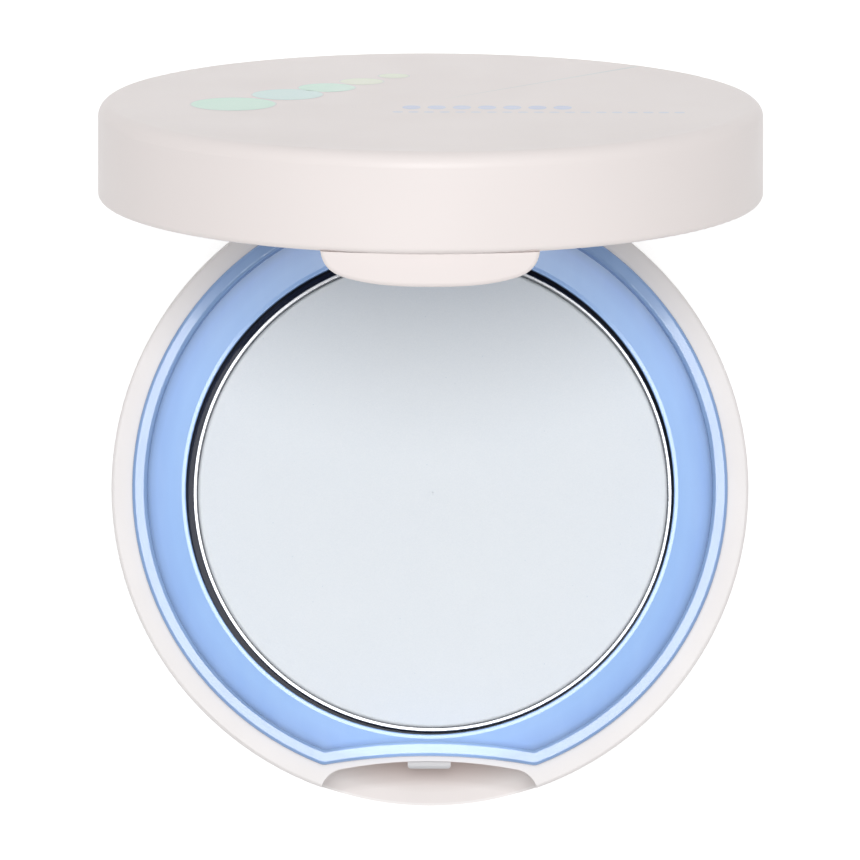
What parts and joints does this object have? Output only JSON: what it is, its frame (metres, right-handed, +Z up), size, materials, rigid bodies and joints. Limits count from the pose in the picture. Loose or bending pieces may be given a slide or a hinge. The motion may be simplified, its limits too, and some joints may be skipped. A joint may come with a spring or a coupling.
{
  "type": "powder compact",
  "caption": "Round pressed-powder compact with a rear-hinged mirror lid standing open, a rounded tray, a powder pan and a front thumb recess with a catch.",
  "frame": {"origin": "centre of the base's underside, on the surface it stands on", "axes": "+Z up, +Y from the front thumb recess to the rear hinge, +X to the right of a user facing the front"},
  "size_m": [0.07, 0.0832, 0.0731],
  "materials": {
    "shell_white": "glossy moulded white with a faint warm tint",
    "frame_white": "glossy moulded white with a faint warm tint",
    "tray_blue": "pearly sky-blue moulded, polished",
    "catch_white": "satin neutral white insert",
    "pan_metal": "thin pressed sheet, bright rim",
    "powder": "matte pressed powder, cool white with fine grain",
    "pin_steel": "drawn wire",
    "mirror_glass": "silvered glass with a ground edge",
    "adhesive": "double-sided foam adhesive"
  },
  "bodies": {
    "base": {"base_shell": "shell_white", "catch_tongue": "catch_white", "inner_tray": "tray_blue", "pan_adhesive": "adhesive", "powder_pan": "pan_metal", "pressed_powder": "powder", "hinge_pin_left": "pin_steel", "hinge_pin_right": "pin_steel"},
    "lid": {"lid_shell": "shell_white", "lid_inner_frame": "frame_white", "mirror_adhesive": "adhesive", "mirror": "mirror_glass"}
  },
  "joints": [
    {"name": "lid_hinge", "type": "hinge", "parent": "base", "child": "lid", "pos_m": [0, 0.0324, 0.0043], "axis": [-1, 0, 0], "range_deg": [-73, 23]}
  ]
}
